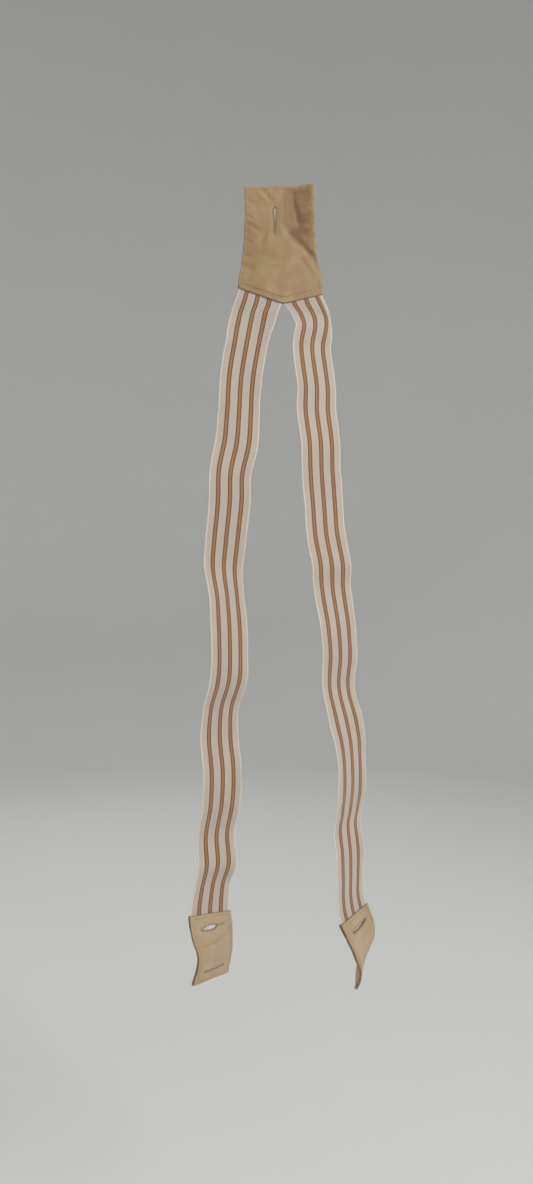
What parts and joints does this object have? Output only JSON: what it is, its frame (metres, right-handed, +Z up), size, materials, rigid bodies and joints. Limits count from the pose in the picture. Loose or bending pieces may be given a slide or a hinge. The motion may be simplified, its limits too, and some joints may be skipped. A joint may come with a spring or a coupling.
{
  "type": "suspenders",
  "caption": "Button-on dress suspenders: a leather yoke with a buttonhole, striped webbing straps and buttonholed leather tabs, hanging at rest.",
  "frame": {"origin": "upper end of the yoke's buttonhole, on its centre line: the point that the suspenders hang from, midway through the yoke's thickness", "axes": "+Z up along the buttonhole, +X to the right seen from the front, -Y out of the front face of the yoke"},
  "size_m": [0.1706, 0.0466, 0.7289],
  "materials": {
    "yoke_leather": "soft tan leather, matt, with a fine nap",
    "tab_leather": "paler tan leather, matt, cut edges darker",
    "webbing": "off-white ribbed webbing with tan twill stripes",
    "canvas": "unbleached canvas",
    "seam_thread": "tan sewing thread",
    "buttonhole_thread": "tan buttonhole twist, satin"
  },
  "bodies": {
    "yoke": {"yoke_front_leather": "yoke_leather", "yoke_back_leather": "yoke_leather", "yoke_interlining": "canvas", "yoke_edge_needle_thread": "seam_thread", "yoke_edge_bobbin_thread": "seam_thread", "yoke_lower_seam_needle_thread": "seam_thread", "yoke_lower_seam_bobbin_thread": "seam_thread", "yoke_buttonhole_thread": "buttonhole_thread", "yoke_buttonhole_bartack": "buttonhole_thread", "left_webbing_sewn_top": "webbing", "right_webbing_sewn_top": "webbing"},
    "left_upper_strap": {"left_webbing_upper": "webbing"},
    "left_lower_strap": {"left_webbing_lower": "webbing"},
    "left_tab": {"left_tab_front_leather": "tab_leather", "left_tab_back_leather": "tab_leather", "left_tab_interlining": "canvas", "left_webbing_sewn_bottom": "webbing", "left_tab_edge_needle_thread": "seam_thread", "left_tab_edge_bobbin_thread": "seam_thread", "left_tab_upper_buttonhole_thread": "buttonhole_thread", "left_tab_upper_buttonhole_bartack": "buttonhole_thread", "left_tab_lower_buttonhole_thread": "buttonhole_thread", "left_tab_lower_buttonhole_bartack": "buttonhole_thread"},
    "right_upper_strap": {"right_webbing_upper": "webbing"},
    "right_lower_strap": {"right_webbing_lower": "webbing"},
    "right_tab": {"right_tab_front_leather": "tab_leather", "right_tab_back_leather": "tab_leather", "right_tab_interlining": "canvas", "right_webbing_sewn_bottom": "webbing", "right_tab_edge_needle_thread": "seam_thread", "right_tab_edge_bobbin_thread": "seam_thread", "right_tab_upper_buttonhole_thread": "buttonhole_thread", "right_tab_upper_buttonhole_bartack": "buttonhole_thread", "right_tab_lower_buttonhole_thread": "buttonhole_thread", "right_tab_lower_buttonhole_bartack": "buttonhole_thread"}
  },
  "joints": [
    {"name": "left_yoke_fold", "type": "hinge", "parent": "yoke", "child": "left_upper_strap", "pos_m": [-0.0202, 0, -0.096], "axis": [1, 0, 0], "range_deg": [-120, 120]},
    {"name": "left_shoulder_bend", "type": "hinge", "parent": "left_upper_strap", "child": "left_lower_strap", "pos_m": [-0.045, 0.002, -0.304], "axis": [0.9236, 0.3801, -0.0498], "range_deg": [-90, 100]},
    {"name": "left_tab_fold", "type": "hinge", "parent": "left_lower_strap", "child": "left_tab", "pos_m": [-0.0597, 0.0005, -0.645], "axis": [0.8418, 0.5335, -0.0821], "range_deg": [-90, 90]},
    {"name": "right_yoke_fold", "type": "hinge", "parent": "yoke", "child": "right_upper_strap", "pos_m": [0.0338, 0, -0.096], "axis": [1, 0, 0], "range_deg": [-120, 120]},
    {"name": "right_shoulder_bend", "type": "hinge", "parent": "right_upper_strap", "child": "right_lower_strap", "pos_m": [0.0468, 0, -0.3], "axis": [0.914, 0.3987, 0.075], "range_deg": [-90, 100]},
    {"name": "right_tab_fold", "type": "hinge", "parent": "right_lower_strap", "child": "right_tab", "pos_m": [0.0715, 0, -0.6455], "axis": [0.6636, 0.7329, 0.1501], "range_deg": [-90, 90]}
  ]
}
